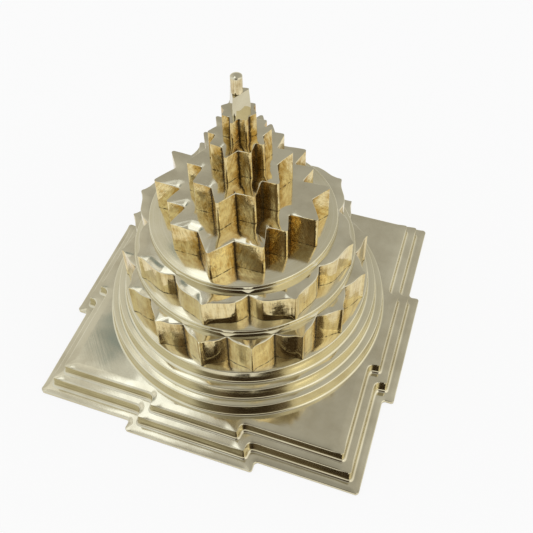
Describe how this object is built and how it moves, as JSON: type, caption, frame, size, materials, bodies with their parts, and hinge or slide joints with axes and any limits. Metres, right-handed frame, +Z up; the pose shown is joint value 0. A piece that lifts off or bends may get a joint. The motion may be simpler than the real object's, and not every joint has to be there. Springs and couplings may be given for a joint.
{
  "type": "meru shri yantra",
  "caption": "Stepped brass yantra tower: square gated base, round steps, petal tiers, star tiers, a triangle and a small round knob on top.",
  "frame": {"origin": "middle of the underside of the bottom plate", "axes": "+Z up through the bindu, the front gate faces -Y, the triangle's point faces -Y"},
  "size_m": [0.1524, 0.1524, 0.1371],
  "materials": {
    "plate_brass": "polished sheet with a darkened edge",
    "step_brass": "polished treads, brushed walls",
    "ring_brass": "turned and polished",
    "petal_brass": "polished tops, as-filed walls",
    "star_brass": "polished tops, as-filed walls",
    "finial_brass": "polished",
    "rod_brass": "drawn",
    "screw_brass": "turned"
  },
  "bodies": {
    "root": {"base_plate": "plate_brass", "bhupura_middle": "step_brass", "bhupura_upper": "step_brass", "ring_lower": "ring_brass", "ring_middle": "ring_brass", "ring_upper": "ring_brass", "petals_sixteen": "petal_brass", "petal_disc": "ring_brass", "petals_eight": "petal_brass", "star_disc": "ring_brass", "star_fourteen": "star_brass", "star_ten_outer": "star_brass", "star_ten_inner": "star_brass", "star_eight": "star_brass", "triangle": "finial_brass", "bindu": "finial_brass", "tie_rod": "rod_brass", "clamp_washer": "rod_brass", "clamp_nut": "rod_brass", "guide_rods": "rod_brass", "star_pins": "rod_brass", "triangle_pin": "rod_brass", "base_screws": "screw_brass"}
  },
  "joints": []
}
